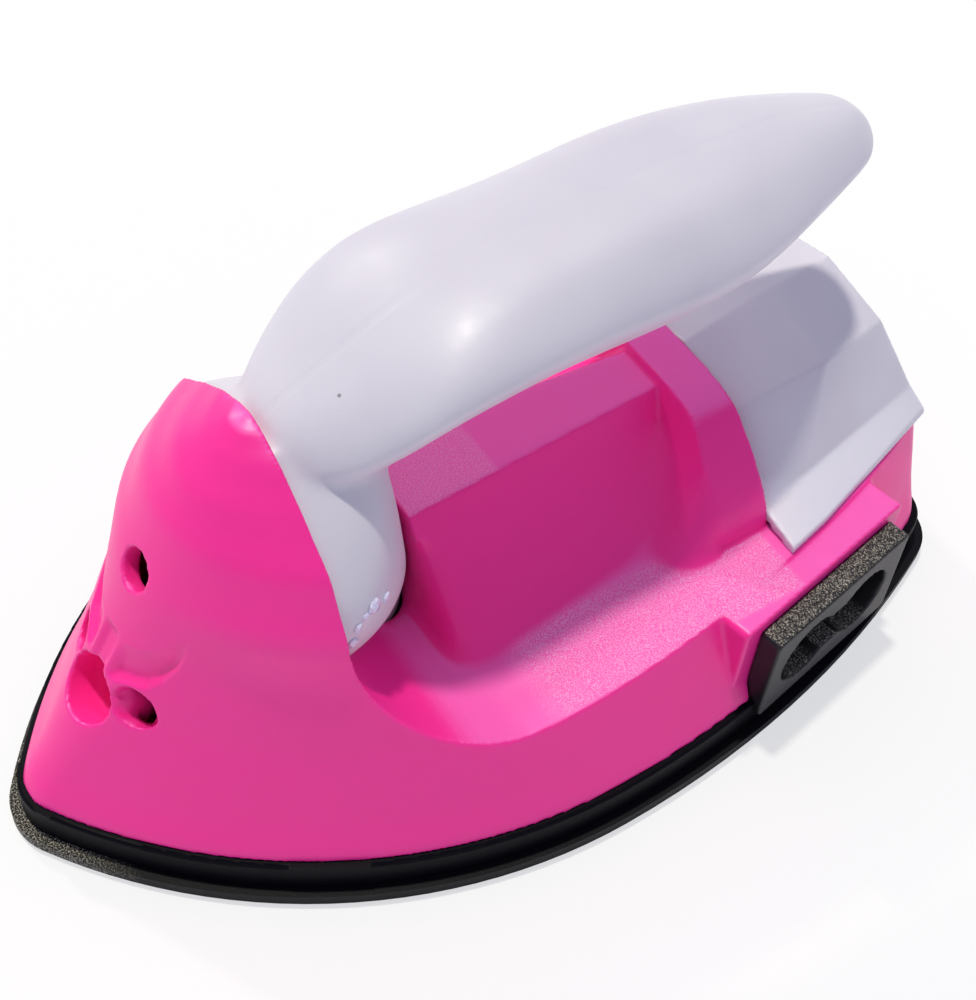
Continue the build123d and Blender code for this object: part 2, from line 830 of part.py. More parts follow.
def clip_holes():
    """Holes for the clip's screws."""
    depth = clip_thickness + small_screw_grip
    hole = Cylinder(small_screw_diameter / 2, depth, align=(Align.CENTER, Align.CENTER, Align.MAX))
    return [place * hole for place in clip_screw_places()]


def fuse_clip():
    """Saddle of sheet metal over the sleeve, with two feet."""
    inner = fuse_diameter / 2 + sleeve_wall
    outer = inner + clip_thickness
    arch = Circle(outer) + Pos(0, -outer / 2) * Rectangle(2 * outer, outer)
    gap = Circle(inner) + Pos(0, -inner / 2) * Rectangle(2 * inner, inner)
    feet = Pos(0, -inner + clip_thickness / 2) * Rectangle(2 * (outer + clip_foot), clip_thickness)
    keep = Pos(0, (outer - inner) / 2) * Rectangle(2 * (outer + clip_foot), inner + outer)
    outline = ((arch + feet) & keep) - gap
    return fuse_axis() * extrude(outline, amount=clip_width / 2, both=True) - clip_holes()


def clip_screws():
    """Small screws that hold the fuse's clip."""
    length = clip_thickness + small_screw_grip
    body = screw(small_screw_diameter, length, small_screw_head, small_screw_head_height)
    return [place * body for place in clip_screw_places()]


def crimp(end):
    """Tube that joins a lead of the fuse to a wire."""
    tube = Cylinder(crimp_diameter / 2, crimp_length)
    lead = Pos(0, 0, crimp_length / 4) * Cylinder(fuse_lead_diameter / 2, crimp_length / 2)
    wire = Pos(0, 0, -crimp_length / 4) * Cylinder(wire_diameter / 2, crimp_length / 2)
    facing = Rot(180, 0, 0) if end > 0 else Rot(0, 0, 0)
    return fuse_axis() * Pos(0, 0, end * crimp_distance) * facing * (tube - lead - wire)


def crimps():
    """Both crimped joints of the fuse."""
    return [crimp(-1), crimp(1)]


def wire(points):
    """Insulated wire along straight runs joined by round bends."""
    path = FilletPolyline(points, radius=wire_bend)
    start = Plane(origin=path @ 0, z_dir=path % 0)
    return sweep(start * Circle(wire_diameter / 2), path=path)


def inward(place, distance):
    """A point straight behind one of the inlet's terminals."""
    return (terminal_end(place) * Pos(0, 0, -distance)).position


def lead_end(end):
    """Where a wire starts inside its crimp, seen from the fuse."""
    return (fuse_axis() * Pos(0, 0, end * crimp_distance)).position


def wire_neutral():
    """Wire from the forward terminal to the lower contact plate."""
    tag_y = heater_place + (heater_length + tab_length) / 2
    tag = Vector(tab_offset, tag_y, lower_electrode_height + electrode_thickness)
    start = inward(-socket_pitch / 2, 0)
    over = Vector(tag.X, tag.Y, start.Z)
    return wire([start, inward(-socket_pitch / 2, wire_start), over, tag])


def wire_live():
    """Wire from the rear terminal to the fuse."""
    start = inward(socket_pitch / 2, 0)
    out = inward(socket_pitch / 2, wire_start)
    end = lead_end(-1)
    turn = end + Vector(0, live_turn, 0)
    return wire([start, out, turn, end])


def wire_link():
    """Wire from the fuse to the upper contact plate."""
    tag_y = heater_place - (heater_length + tab_length) / 2
    tag = Vector(tab_offset, tag_y, upper_electrode_height + electrode_thickness)
    start = lead_end(1)
    out = start - Vector(0, link_turn, 0)
    over = tag + Vector(0, 0, wire_drop)
    return wire([start, out, over, tag])


def node(name, *solids):
    """Write one sub-part's file."""
    shape = solids[0] if len(solids) == 1 else Compound(children=list(solids))
    export_step(shape, f"parts/{name}.step")


def main():
    """Build and write every sub-part."""
    os.makedirs("parts", exist_ok=True)
    half = handle_half()
    port, starboard = handle_halves()
    node("sole_plate", sole_plate())
    node("base_skirt", base_skirt())
    node("base_screws", *base_screws())
    node("hull_shell", hull_shell(half + half.mirror(Plane.YZ)))
    node("handle_port_half", port)
    node("handle_starboard_half", starboard)
    node("handle_plate", handle_plate())
    node("handle_screws", *handle_screws())
    node("rear_cover", rear_cover())
    node("inlet_housing", inlet_housing())
    node("inlet_pins", *inlet_pins())
    node("inlet_terminals", *inlet_terminals())
    node("insulation_sheets", *insulation_sheets())
    node("heater_electrodes", *electrodes())
    node("heater_element", heater_element())
    node("heater_clamp", heater_clamp())
    node("clamp_screws", *clamp_screws())
    node("heat_shield", heat_shield())
    node("thermal_fuse", thermal_fuse())
    node("fuse_sleeve", fuse_sleeve())
    node("fuse_clip", fuse_clip())
    node("clip_screws", *clip_screws())
    node("wire_crimps", *crimps())
    node("wire_neutral", wire_neutral())
    node("wire_live", wire_live())
    node("wire_link", wire_link())


if __name__ == "__main__":
    main()
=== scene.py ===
import math

import bmesh
import bpy
import numpy as np
from bpy.props import FloatProperty, FloatVectorProperty, IntProperty, PointerProperty
from mathutils import Matrix, Vector, noise


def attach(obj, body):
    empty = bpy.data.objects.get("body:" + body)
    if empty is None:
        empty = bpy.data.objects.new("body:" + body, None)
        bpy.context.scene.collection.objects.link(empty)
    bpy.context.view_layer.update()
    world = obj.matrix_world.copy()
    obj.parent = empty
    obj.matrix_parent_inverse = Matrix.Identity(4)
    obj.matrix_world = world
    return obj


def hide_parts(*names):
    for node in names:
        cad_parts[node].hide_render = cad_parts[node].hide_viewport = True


bl_info = {
    "name": "Mini craft iron",
    "version": (1, 0, 0),
    "blender": (4, 5, 0),
    "location": "View3D > Sidebar > Craft Iron",
    "description": "Dresses the solids of a mini craft iron in softened skins and moulded finishes",
    "category": "Add Mesh",
}

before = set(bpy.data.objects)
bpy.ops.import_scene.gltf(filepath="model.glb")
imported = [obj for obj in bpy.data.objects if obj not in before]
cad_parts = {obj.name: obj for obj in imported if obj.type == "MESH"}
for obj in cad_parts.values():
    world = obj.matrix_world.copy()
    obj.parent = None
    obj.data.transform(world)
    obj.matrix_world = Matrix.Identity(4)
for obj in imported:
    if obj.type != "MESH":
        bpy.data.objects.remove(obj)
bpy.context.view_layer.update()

MM = 0.001

# Places of the Mix node's sockets when it mixes colours, as its sockets for numbers carry the same names.
SHARE, FIRST, SECOND, MIXED = 0, 6, 7, 2

# Grain of the black parts. The real one is too fine to show, so it is drawn as coarse as the render needs.
GRIT = 0.17 * MM


def linear(code):
    """Linear RGB of an sRGB hex colour."""
    channels = [int(code[place : place + 2], 16) / 255 for place in (1, 3, 5)]
    return tuple(c / 12.92 if c <= 0.04045 else ((c + 0.055) / 1.055) ** 2.4 for c in channels)


def colour(name, description, code):
    """Colour property with its default given as sRGB hex."""
    return FloatVectorProperty(
        name=name, description=description, subtype="COLOR", min=0, max=1, default=linear(code)
    )


def length(name, description, default):
    """Length property with its default given in millimetres."""
    return FloatProperty(
        name=name, description=description, unit="LENGTH", min=0, precision=5, default=default * MM
    )


def count(name, description, default):
    """Property that says how often something is done."""
    return IntProperty(name=name, description=description, default=default, min=0)


def level(name, description, default):
    """Property for the strength of a light."""
    return FloatProperty(name=name, description=description, default=default, min=0)


class IronHullSettings(bpy.types.PropertyGroup):
    """Pink housing."""

    pink: colour("Pink", "Colour of the ABS housing", "#FF2A98")
    # Painted light: the housing's level faces are painted in this paler pink, as if the sun lit them more.
    painted_sunlit: colour("Pale pink", "Colour of the housing's level faces", "#FF62BC")
    # Painted glints: colour of the bright grains painted on the housing's eroded areas.
    glint: colour("Glint", "Colour of the bright grains in the textured areas", "#FFC8EA")
    voxel: length("Skin step", "Spacing of the housing's skin", 0.22)
    softening: count("Softening", "How often the skin's edges are eased", 5)
    grain: length("Grain", "Size of one spark-eroded grain, drawn coarse enough to show", 0.14)
    well_softening: count("Well softening", "How often the finger well's inner corners are eased", 520)
    cut_softening: count("Cut softening", "How often the crescents' edges are eased", 18)
    crescent_depth: length("Crescent depth", "How deep the crescents beside the openings are cut", 1.0)
    channel_depth: length("Channel depth", "How deep the channel above the large opening is", 0.45)


class IronHandleSettings(bpy.types.PropertyGroup):
    """White handle and rear cover."""

    white: colour("White", "Colour of the ABS handle and rear cover", "#D8D5DF")
    # Painted light: the cover's lower band is painted in this lighter white, as if the lamp lit it more.
    band: colour("Cover band", "Colour of the cover's lower band", "#E2DFE9")
    handle_voxel: length("Handle step", "Spacing of the handle's skin", 0.4)
    cover_voxel: length("Cover step", "Spacing of the rear cover's skin", 0.24)
    handle_softening: count("Handle softening", "How often the handle's skin is eased", 16)
    crest_softening: count("Crest softening", "How often the top of the grip is eased", 120)
    cover_softening: count("Cover softening", "How often the cover's edges are eased", 4)


class IronBaseSettings(bpy.types.PropertyGroup):
    """Sole, skirt and inlet."""

    black: colour("Black", "Colour of the PBT skirt and inlet", "#0A0910")
    coating: colour("Coating", "Colour of the sole's non-stick coating", "#0B0A10")
    # Painted glints: colour of the bright grains painted on the black parts and on the sole's nose.
    painted_glints: colour("Glitter", "Colour of the bright grains on the black parts", "#B9B4A4")
    inlet_voxel: length("Inlet step", "Spacing of the inlet's skin", 0.2)
    inlet_softening: count("Inlet softening", "How often the inlet's edges are eased", 3)


class IronStageSettings(bpy.types.PropertyGroup):
    """Floor, light and camera."""

    floor: colour("Floor", "Colour of the floor", "#F4F4F6")
    sky: colour("Sky", "Colour of the soft light from all round", "#DEE3FF")
    sky_strength: level("Sky strength", "Level of the soft light", 0.52)
    key: colour("Key", "Colour of both lamps", "#FFFAE8")
    key_strength: level("Key strength", "Level of the overhead lamp", 1.95)
    side_strength: level("Side strength", "Level of the side lamp", 0.7)
    spread: FloatProperty(
        name="Spread",
        description="Apparent width of the lamps",
        subtype="ANGLE",
        default=math.radians(4),
        min=0,
    )
    lens: FloatProperty(
        name="Lens", description="Focal length of the camera", subtype="DISTANCE_CAMERA", default=66.39
    )


# Finding and copying


def settings(context, group):
    """One of this add-on's groups of settings."""
    return getattr(context.scene, group)


def body():
    """The one rigid body of the part."""
    return "root"


def add(tree, kind, given=None):
    """Add a node; each key given is an attribute or a socket, with a value or another node's output."""
    # A number as a key is a socket's place in the node's list.
    node = tree.nodes.new(kind)
    for key, value in (given or {}).items():
        if isinstance(key, str) and hasattr(node, key):
            setattr(node, key, value)
        elif isinstance(value, bpy.types.NodeSocket):
            tree.links.new(value, node.inputs[key])
        else:
            node.inputs[key].default_value = value
    return node


def finish(name, plain, pattern):
    """Principled material: plain sockets, and pattern(tree, place) for those that vary over the surface."""
    material = bpy.data.materials.new(name)
    material.use_nodes = True
    tree = material.node_tree
    tree.nodes.clear()
    place = add(tree, "ShaderNodeTexCoord").outputs["Object"]
    shader = add(tree, "ShaderNodeBsdfPrincipled", {**plain, **pattern(tree, place)})
    add(tree, "ShaderNodeOutputMaterial", {"Surface": shader.outputs["BSDF"]})
    return material


def rgba(value):
    """A linear colour or an sRGB hex colour with full alpha."""
    return (*(linear(value) if isinstance(value, str) else value), 1.0)


# Finishes


def pink_abs(options):
    """Gloss-moulded ABS in a fluorescent pink, with spark-eroded areas where the mesh's grain is high."""
    # Light spreads inside the thin wall, so edges of shade glow red. Painted glints: the eroded areas get
    # bright
    # grains in their colour. Painted light: the level faces, which the mesh marks, are painted paler, as if
    # sunlit.

    def pattern(tree, place):
        grain = add(tree, "ShaderNodeAttribute", {"attribute_name": "grain"}).outputs["Fac"]
        painted_sunlit = add(tree, "ShaderNodeAttribute", {"attribute_name": "painted_sunlit"}).outputs["Fac"]
        erosion = {"Vector": place, "Scale": 1 / options.grain, "Detail": 2.0, "Roughness": 0.75}
        speck = add(tree, "ShaderNodeTexNoise", erosion).outputs["Fac"]
        bright = {"Value": speck, "From Min": 0.44, "From Max": 0.66, "To Min": 0.0, "To Max": 0.65}
        fleck = add(tree, "ShaderNodeMapRange", bright).outputs[0]
        shine = add(tree, "ShaderNodeMath", {"operation": "MULTIPLY", 0: fleck, 1: grain}).outputs[0]
        drift = {"Vector": place, "Scale": 1 / (24 * MM), "Detail": 1.0}
        cloud = add(tree, "ShaderNodeTexNoise", drift).outputs["Fac"]
        flow = {"data_type": "RGBA", SHARE: cloud, FIRST: rgba(options.pink), SECOND: rgba("#FF369E")}
        base = add(tree, "ShaderNodeMix", flow).outputs[MIXED]
        # Painted light: the marked level faces are mixed towards the paler pink, as if sunlit.
        painted_sunlit_tint = {"data_type": "RGBA", SHARE: painted_sunlit, FIRST: base, SECOND: rgba(options.painted_sunlit)}
        lit = add(tree, "ShaderNodeMix", painted_sunlit_tint).outputs[MIXED]
        # Painted glints: bright grains mixed in where the grain is marked.
        painted_glints = {"data_type": "RGBA", SHARE: shine, FIRST: lit, SECOND: rgba(options.glint)}
        gloss = {"Value": grain, "From Min": 0.0, "From Max": 1.0, "To Min": 0.36, "To Max": 0.62}
        waves = {"Vector": place, "Scale": 1 / (3 * MM), "Detail": 1.0}
        ripple = add(tree, "ShaderNodeTexNoise", waves).outputs["Fac"]
        smooth = {"Height": ripple, "Distance": 0.03 * MM, "Strength": 0.5}
        skin = add(tree, "ShaderNodeBump", smooth).outputs["Normal"]
        relief = {"Height": speck, "Distance": 0.07 * MM, "Strength": grain, "Normal": skin}
        return {
            "Base Color": add(tree, "ShaderNodeMix", painted_glints).outputs[MIXED],
            "Roughness": add(tree, "ShaderNodeMapRange", gloss).outputs[0],
            "Normal": add(tree, "ShaderNodeBump", relief).outputs["Normal"],
        }

    plain = {
        "IOR": 1.53,
        "Specular IOR Level": 0.3,
        "Subsurface Weight": 0.1,
        "Subsurface Radius": (1.0, 0.12, 0.25),
        "Subsurface Scale": 1.4 * MM,
    }
    return finish("pink_moulded_abs", plain, pattern)


def white_abs(options):
    """Satin-moulded ABS in a cool white, with a faint parting line and a few specks of soot."""
    # Painted light: the cover's lower band, which the mesh marks, is painted a little lighter, as if the
    # lamp lit it more.

    def pattern(tree, place):
        drift = {"Vector": place, "Scale": 1 / (16 * MM), "Detail": 2.0}
        cloud = add(tree, "ShaderNodeTexNoise", drift).outputs["Fac"]
        tones = {"Value": cloud, "From Min": 0.35, "From Max": 0.7, "To Min": 0.0, "To Max": 1.0}
        tone = add(tree, "ShaderNodeMapRange", tones).outputs[0]
        flow = {"data_type": "RGBA", SHARE: tone, FIRST: rgba(options.white), SECOND: rgba("#CFCBD7")}
        base = add(tree, "ShaderNodeMix", flow).outputs[MIXED]
        # Painted light: the cover's marked band is mixed towards a lighter white, as if lit more.
        painted_sunlit = add(tree, "ShaderNodeAttribute", {"attribute_name": "painted_sunlit"}).outputs["Fac"]
        lighter = {"data_type": "RGBA", SHARE: painted_sunlit, FIRST: base, SECOND: rgba(options.band)}
        lit = add(tree, "ShaderNodeMix", lighter).outputs[MIXED]
        # Specks of soot are 12 mm apart through the solid, so the surface cuts few of them. Each is full
        # within 0.14 mm of its middle and gone at 0.24 mm.
        spots = {"Vector": place, "Scale": 1 / (12 * MM)}
        cells = add(tree, "ShaderNodeTexVoronoi", spots).outputs["Distance"]
        speck = {"Value": cells, "From Min": 0.012, "From Max": 0.02, "To Min": 0.75, "To Max": 0.0}
        soot = add(tree, "ShaderNodeMapRange", speck).outputs[0]
        specks = {"data_type": "RGBA", SHARE: soot, FIRST: lit, SECOND: rgba("#6E6067")}
        handling = {"Vector": place, "Scale": 1 / (4 * MM), "Detail": 4.0}
        worn = add(tree, "ShaderNodeTexNoise", handling).outputs["Fac"]
        gloss = {"Value": worn, "From Min": 0.3, "From Max": 0.7, "To Min": 0.36, "To Max": 0.5}
        satin = {"Vector": place, "Scale": 1 / (0.3 * MM), "Detail": 2.0}
        fine = add(tree, "ShaderNodeTexNoise", satin).outputs["Fac"]
        smooth = {"Height": fine, "Distance": 0.01 * MM, "Strength": 0.5}
        skin = add(tree, "ShaderNodeBump", smooth).outputs["Normal"]
        seam = add(tree, "ShaderNodeAttribute", {"attribute_name": "seam"}).outputs["Fac"]
        groove = {"Height": seam, "Distance": 0.03 * MM, "invert": True, "Normal": skin}
        return {
            "Base Color": add(tree, "ShaderNodeMix", specks).outputs[MIXED],
            "Roughness": add(tree, "ShaderNodeMapRange", gloss).outputs[0],
            "Normal": add(tree, "ShaderNodeBump", groove).outputs["Normal"],
        }

    plain = {
        "IOR": 1.53,
        "Specular IOR Level": 0.4,
        "Subsurface Weight": 0.2,
        "Subsurface Radius": (1.0, 0.85, 0.95),
        "Subsurface Scale": 1.0 * MM,
    }
    return finish("white_moulded_abs", plain, pattern)


def black_pbt(name, options, shine):
    """Heat-proof PBT moulded in a grained tool: near black, with painted grey-gold glints on the grain."""

    def pattern(tree, place):
        grain = add(tree, "ShaderNodeAttribute", {"attribute_name": "grain"}).outputs["Fac"]
        grit = {"Vector": place, "Scale": 1 / GRIT, "Detail": 2.0, "Roughness": 0.8}
        coarse = add(tree, "ShaderNodeTexNoise", grit).outputs["Fac"]
        bright = {"Value": coarse, "From Min": 0.5, "From Max": 0.66, "To Min": 0.0, "To Max": 0.95}
        crest = add(tree, "ShaderNodeMapRange", bright).outputs[0]
        shown = add(tree, "ShaderNodeMath", {"operation": "MULTIPLY", 0: crest, 1: grain}).outputs[0]
        # Painted glints: grey-gold grains where the grain is marked.
        plain, lit = rgba(options.black), rgba(options.painted_glints)
        tint = {"data_type": "RGBA", SHARE: shown, FIRST: plain, SECOND: lit}
        fine = add(tree, "ShaderNodeBump", {"Height": coarse, "Distance": 0.012 * MM}).outputs["Normal"]
        relief = {"Height": coarse, "Distance": 0.09 * MM, "Strength": grain, "Normal": fine}
        gloss = {"Value": coarse, "From Min": 0.3, "From Max": 0.7, "To Min": 0.5, "To Max": 0.36}
        return {
            "Base Color": add(tree, "ShaderNodeMix", tint).outputs[MIXED],
            "Roughness": add(tree, "ShaderNodeMapRange", gloss).outputs[0],
            "Normal": add(tree, "ShaderNodeBump", relief).outputs["Normal"],
        }

    return finish(name, {"IOR": 1.55, "Specular IOR Level": shine}, pattern)


def coated_alloy(options):
    """Cast aluminium under a sprayed non-stick coating, worn at the tip of the nose, whose glints are
    painted as bright grains.
    """

    def pattern(tree, place):
        grit = {"Vector": place, "Scale": 1 / GRIT, "Detail": 2.0, "Roughness": 0.8}
        coarse = add(tree, "ShaderNodeTexNoise", grit).outputs["Fac"]
        along = add(tree, "ShaderNodeSeparateXYZ", {"Vector": place}).outputs["Y"]
        # Painted glints: bright grains over the worn tip of the nose, fading out behind it.
        worn_tip_glints = {"Value": along, "From Min": -47 * MM, "From Max": -42.5 * MM, "To Min": 1.0, "To Max": 0.0}
        worn = add(tree, "ShaderNodeMapRange", worn_tip_glints).outputs[0]
        bright = {"Value": coarse, "From Min": 0.5, "From Max": 0.64, "To Min": 0.0, "To Max": 0.95}
        crest = add(tree, "ShaderNodeMapRange", bright).outputs[0]
        shown = add(tree, "ShaderNodeMath", {"operation": "MULTIPLY", 0: crest, 1: worn}).outputs[0]
        plain, lit = rgba(options.coating), rgba(options.painted_glints)
        tint = {"data_type": "RGBA", SHARE: shown, FIRST: plain, SECOND: lit}
        gloss = {"Value": coarse, "From Min": 0.3, "From Max": 0.7, "To Min": 0.52, "To Max": 0.36}
        relief = {"Height": coarse, "Distance": 0.03 * MM}
        return {
            "Base Color": add(tree, "ShaderNodeMix", tint).outputs[MIXED],
            "Roughness": add(tree, "ShaderNodeMapRange", gloss).outputs[0],
            "Normal": add(tree, "ShaderNodeBump", relief).outputs["Normal"],
        }

    return finish("non_stick_coated_aluminium", {"IOR": 1.5, "Specular IOR Level": 0.12}, pattern)


def metal(name, bright, dull, roughness, lay):
    """Bare or plated metal with fine marks of the given size."""

    def pattern(tree, place):
        wear = {"Vector": place, "Scale": 1 / lay, "Detail": 4.0, "Roughness": 0.6}
        marks = add(tree, "ShaderNodeTexNoise", wear).outputs["Fac"]
        tones = {"Value": marks, "From Min": 0.35, "From Max": 0.7, "To Min": 0.0, "To Max": 1.0}
        share = add(tree, "ShaderNodeMapRange", tones).outputs[0]
        tint = {"data_type": "RGBA", SHARE: share, FIRST: rgba(bright), SECOND: rgba(dull)}
        smooth, rough = roughness * 0.8, roughness * 1.25
        levels = {"Value": marks, "From Min": 0.3, "From Max": 0.7, "To Min": smooth, "To Max": rough}
        relief = {"Height": marks, "Distance": 0.01 * MM}
        return {
            "Base Color": add(tree, "ShaderNodeMix", tint).outputs[MIXED],
            "Roughness": add(tree, "ShaderNodeMapRange", levels).outputs[0],
            "Normal": add(tree, "ShaderNodeBump", relief).outputs["Normal"],
        }

    return finish(name, {"Metallic": 1.0}, pattern)


def mineral(name, light, dark, roughness, lump):
    """Matt heat-proof sheet, ceramic or woven sleeve."""

    def pattern(tree, place):
        lumps = {"Vector": place, "Scale": 1 / lump, "Detail": 4.0, "Roughness": 0.65}
        cloud = add(tree, "ShaderNodeTexNoise", lumps).outputs["Fac"]
        tones = {"Value": cloud, "From Min": 0.35, "From Max": 0.65, "To Min": 0.0, "To Max": 1.0}
        share = add(tree, "ShaderNodeMapRange", tones).outputs[0]
        tint = {"data_type": "RGBA", SHARE: share, FIRST: rgba(light), SECOND: rgba(dark)}
        relief = {"Height": cloud, "Distance": 0.05 * MM}
        return {
            "Base Color": add(tree, "ShaderNodeMix", tint).outputs[MIXED],
            "Normal": add(tree, "ShaderNodeBump", relief).outputs["Normal"],
        }

    return finish(name, {"Roughness": roughness, "IOR": 1.5}, pattern)


def adhesive():
    """Cured clear adhesive that squeezed out of the joint: wet-looking and almost colourless."""

    def pattern(tree, place):
        streaks = {"Vector": place, "Scale": 1 / (0.5 * MM), "Detail": 2.0}
        cloud = add(tree, "ShaderNodeTexNoise", streaks).outputs["Fac"]
        tint = {"data_type": "RGBA", SHARE: cloud, FIRST: rgba("#E9E6FA"), SECOND: rgba("#C9C5E4")}
        relief = {"Height": cloud, "Distance": 0.15 * MM}
        return {
            "Base Color": add(tree, "ShaderNodeMix", tint).outputs[MIXED],
            "Normal": add(tree, "ShaderNodeBump", relief).outputs["Normal"],
        }

    return finish("cured_clear_adhesive", {"IOR": 1.48, "Roughness": 0.08, "Coat Weight": 0.6}, pattern)


# Skins


def cad(name):
    """A CAD node's object."""
    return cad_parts[name]


def paint(name, material):
    """Give a CAD node's slots a finish."""
    slots = cad(name).data.materials
    if not slots:
        slots.append(material)
    for place in range(len(slots)):
        slots[place] = material


def largest_shell(mesh):
    """Keep only the largest connected skin of a mesh."""
    work = bmesh.new()
    work.from_mesh(mesh)
    left = set(work.verts)
    best = set()
    while left:
        seed = left.pop()
        group = {seed}
        front = [seed]
        while front:
            vert = front.pop()
            for edge in vert.link_edges:
                other = edge.other_vert(vert)
                if other in left:
                    left.remove(other)
                    group.add(other)
                    front.append(other)
        if len(group) > len(best):
            best = group
    bmesh.ops.delete(work, geom=[vert for vert in work.verts if vert not in best], context="VERTS")
    work.to_mesh(mesh)
    work.free()


def softened(name, nodes, voxel, times, extend=None):
    """An even skin over CAD nodes with eased edges, as a new object; extend(work) adds solids first."""
    work = bmesh.new()
    for node in nodes:
        work.from_mesh(cad(node).data)
    if extend:
        extend(work)
    source = bpy.data.meshes.new(name + "_source")
    work.to_mesh(source)
    work.free()
    draft = bpy.data.objects.new(name + "_draft", source)
    bpy.context.scene.collection.objects.link(draft)
    remesh = draft.modifiers.new("skin", "REMESH")
    remesh.mode = "VOXEL"
    remesh.voxel_size = voxel
    smooth = draft.modifiers.new("ease", "SMOOTH")
    smooth.factor = 0.5
    smooth.iterations = times
    mesh = bpy.data.meshes.new_from_object(draft.evaluated_get(bpy.context.evaluated_depsgraph_get()))
    bpy.data.objects.remove(draft)
    bpy.data.meshes.remove(source)
    largest_shell(mesh)
    mesh.name = name
    mesh.materials.clear()
    mesh.shade_smooth()
    piece = bpy.data.objects.new(name, mesh)
    bpy.context.scene.collection.objects.link(piece)
    return piece


def places_and_normals(mesh):
    """Vertex places in millimetres and their normals."""
    co = np.empty(len(mesh.vertices) * 3, np.float32)
    mesh.vertices.foreach_get("co", co)
    normal = np.empty(len(mesh.vertices) * 3, np.float32)
    mesh.vertex_normals.foreach_get("vector", normal)
    return co.reshape(-1, 3).astype(float) / MM, normal.reshape(-1, 3).astype(float)


def move_verts(mesh, places):
    """Put the vertices at places given in millimetres."""
    mesh.vertices.foreach_set("co", (places * MM).astype(np.float32).ravel())
    mesh.update()


def mark(mesh, name, values):
    """Store one number per vertex for a finish to read."""
    attribute = mesh.attributes.new(name, "FLOAT", "POINT")
    attribute.data.foreach_set("value", values.astype(np.float32))


def rise(value, low, high):
    """Smooth step from 0 at low to 1 at high."""
    share = np.clip((value - low) / (high - low), 0, 1)
    return share * share * (3 - 2 * share)


def between(value, opening, closing):
    """1 between two smooth steps and 0 outside them, each step given as (low, high)."""
    return rise(value, *opening) * (1 - rise(value, *closing))


def ease(piece, where, times):
    """Ease the skin further where(places) is high, with the strength in ten levels."""
    weight = np.rint(where(places_and_normals(piece.data)[0]) * 10)
    group = piece.vertex_groups.new(name="eased")
    for tenth in range(1, 11):
        group.add(np.flatnonzero(weight == tenth).tolist(), tenth / 10, "REPLACE")
    smooth = piece.modifiers.new("eased", "SMOOTH")
    smooth.factor = 0.6
    smooth.iterations = times
    smooth.vertex_group = "eased"
    mesh = bpy.data.meshes.new_from_object(piece.evaluated_get(bpy.context.evaluated_depsgraph_get()))
    piece.modifiers.clear()
    piece.vertex_groups.clear()
    piece.data = mesh


def settle(piece, material, slot, *nodes):
    """Finish a piece, let it ride on the body and stand for its CAD nodes."""
    piece.data.materials.append(material)
    if nodes:
        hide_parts(*nodes)
    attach(piece, body())


# Housing

# Axis of the nose's round openings, outwards.
opening_axis = Vector((0, -0.883, 0.469))

# Middle of the large opening's wall, in millimetres, and the blind cup behind it as (radius, distance along
# the axis), from the back of the cup to its bottom.
large_opening = Vector((0, -40.2, 16.9))
cup_profile = (
    (0, -5.8),
    (3.4, -5.2),
    (4.1, -3.6),
    (4.1, -1.2),
    (3.8, -0.5),
    (3.3, -0.5),
    (3.2, -2),
    (2.4, -3.9),
    (0, -4.6),
)

# Middles of the two webs between the large opening and the small ones at its sides, and a web's outline.
webs = (Vector((3.1, -39.0, 17.9)), Vector((-3.1, -39.0, 17.9)))
web_profile = ((0, -0.9), (0.4, -0.9), (0.4, 0.8), (0, 0.8))

# Edges of the crescent at one side of the nose as (distance from the middle, height), in millimetres.
crescent_top = ((0.1, 24.3), (1.9, 24.2), (3.5, 24.7), (4.8, 25.4), (6.1, 26.6), (7.7, 28.9))
crescent_foot = ((0.1, 20.2), (2.1, 20.3), (5.4, 21.2), (6.4, 22.5), (7.1, 24.4), (7.5, 26.7), (7.7, 28.9))

# Both cuts lie forward of nose_start. A crescent has its full depth where it is full_width wide, its crease
# is that far above the lower edge, and it fades in beside the channel. Each pair here and below is a smooth
# step as (low, high), in millimetres.
nose_start = -26
full_width = 2.4
crease = 0.9
crescent_side = (1.4, 2.6)
channel_side = (0.5, 1.3)
channel_height = ((17.5, 18.5), (23.6, 24.8))

# The cuts go in along the iron, downwards by cut_drop of the way, and turn to the middle plane as a nose of
# this radius does.
cut_drop = 0.35
nose_round = 14

# Where the cuts are eased: forward of the first step, in the heights and out to the side. A line that rises
# with the distance from the middle leaves out the rim of the brow opening.
cuts_front = (25, 28)
cuts_height = ((20.6, 21.4), (29, 30.5))
cuts_side = (9, 11)
brow_slope = 1.2
brow_line = (24.5, 26)

# Where the finger well's inner corners are eased.
well_side = ((3.5, 5), (17.0, 19.5))
well_length = ((-15, -10), (16.5, 18.5))
well_height = ((13.0, 14.2), (23.5, 25.8))

# Where the shoulder and the ridge's top are spark-eroded. The shoulder's outer edge leans out with the
# height, and the ridge's grain is weaker.
shoulder_height = ((14.6, 15.1), (18.0, 18.4))
shoulder_length = ((-7.5, -3.5), (22.6, 23.2))
shoulder_side = (13.5, 15)
shoulder_lean = 0.1
shoulder_edge = (21.9, 22.4)
ridge_height = (26.6, 27.0)
ridge_length = ((-12, -11), (-0.7, -0.2))
ridge_share = 0.75

# Upward part of a level face's normal, and the height over which the housing's painted light starts: its
# level faces are painted paler, as if the sun lit them more.
level_tilt = (0.86, 0.97)
painted_sunlit_height = (14, 14.6)


